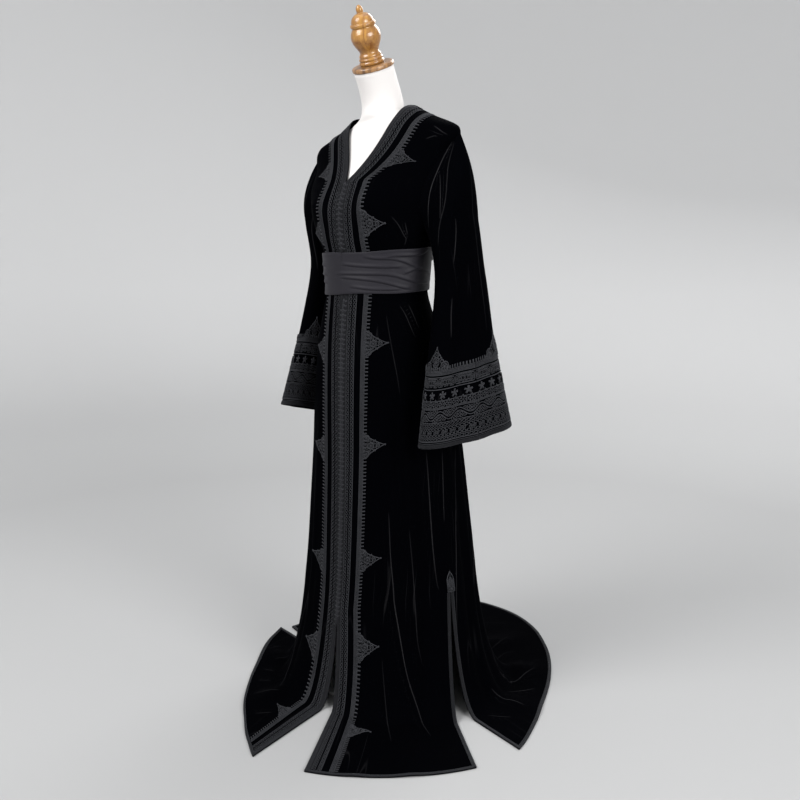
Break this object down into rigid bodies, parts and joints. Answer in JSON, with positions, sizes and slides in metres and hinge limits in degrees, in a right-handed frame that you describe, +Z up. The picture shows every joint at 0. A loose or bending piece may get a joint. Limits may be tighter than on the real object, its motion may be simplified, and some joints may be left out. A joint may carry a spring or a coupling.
{
  "type": "velvet caftan on a dress form",
  "caption": "Full-length black velvet caftan with braid edges, knot buttons, wide sleeves and a pleated satin belt, on a limbless dress form with a turned wood finial",
  "frame": {"origin": "On the floor, at the centre of the stand's round foot.", "axes": "+Z up, -Y the front of the caftan, +X the wearer's left."},
  "size_m": [0.8845, 1.0361, 1.6023],
  "materials": {
    "velvet": "black silk velvet with a soft sheen, crushed in fine creases",
    "braid": "charcoal woven braid and cord",
    "satin": "charcoal satin in soft pleats",
    "form_cover": "smooth white stretch cover",
    "walnut": "brown stained wood, satin",
    "oak": "golden turned wood, varnished",
    "stand": "light grey powder coat"
  },
  "bodies": {
    "root": {"front_left": "velvet", "front_right": "velvet", "back": "velvet", "sleeve_left": "velvet", "sleeve_right": "velvet", "front_braid_left": "braid", "front_braid_right": "braid", "neck_braid_back": "braid", "hem_binding_front_left": "braid", "hem_binding_front_right": "braid", "hem_binding_back": "braid", "cuff_binding_left": "braid", "cuff_binding_right": "braid", "button_row_bodice": "braid", "button_row_skirt": "braid", "slit_tab_left": "braid", "slit_tab_right": "braid", "belt": "satin", "form_torso": "form_cover", "form_cap": "walnut", "form_finial": "oak", "form_pole": "stand", "form_base": "stand"}
  },
  "joints": []
}
